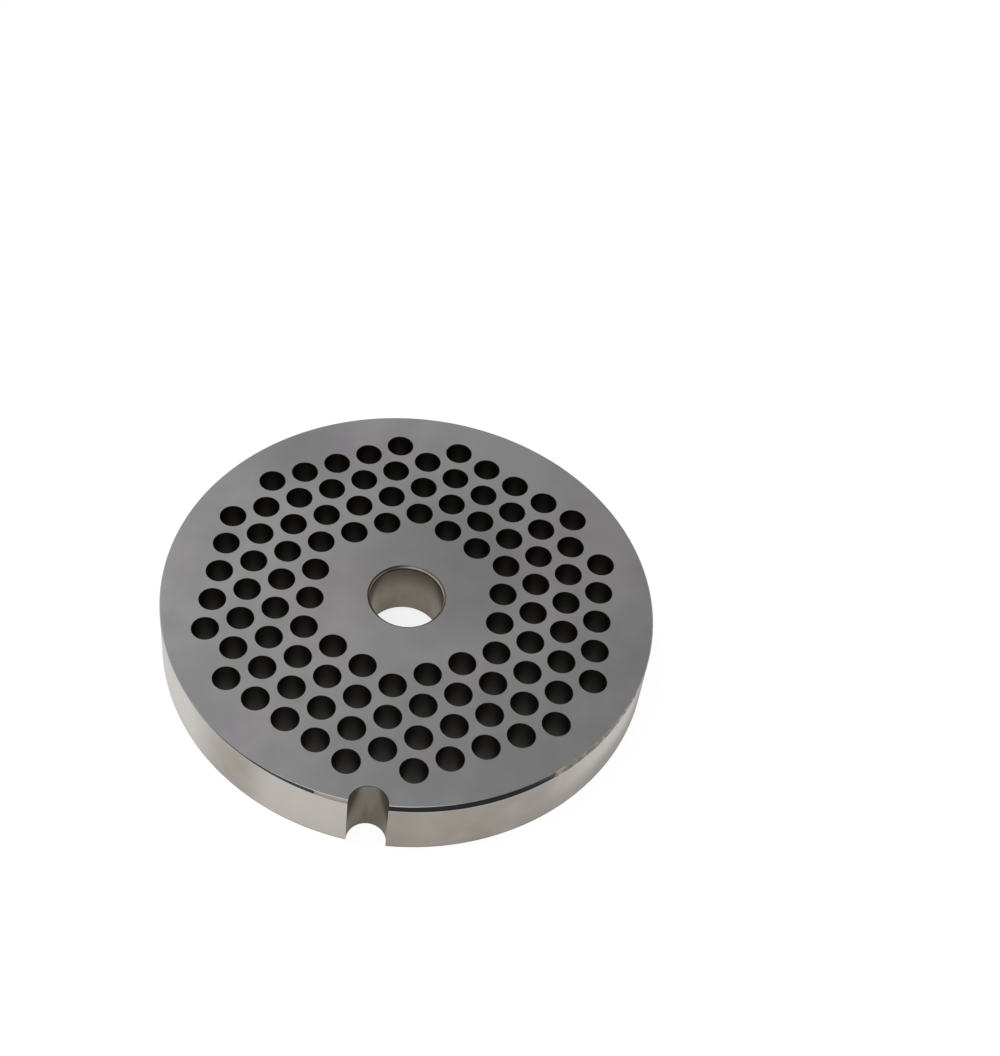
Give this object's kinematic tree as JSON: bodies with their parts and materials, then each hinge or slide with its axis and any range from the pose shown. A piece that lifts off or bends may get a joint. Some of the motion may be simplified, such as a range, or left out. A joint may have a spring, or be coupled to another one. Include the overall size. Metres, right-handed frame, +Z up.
{
  "type": "meat grinder plate",
  "caption": "Round ground-steel meat grinder plate with a centre bore, a hexagonal field of straight feed holes, a half-round key notch in the rim and an uneven bevel on the rim's top edge.",
  "frame": {"origin": "centre of the bottom face, on the axis of the bore", "axes": "+Z up through the thickness, along the bore; the key notch faces -Y"},
  "size_m": [0.082, 0.0819, 0.011],
  "materials": {
    "ground_steel": "surface-ground faces, turned rim, drilled holes, bare metal"
  },
  "bodies": {
    "root": {"grinder_plate": "ground_steel"}
  },
  "joints": []
}
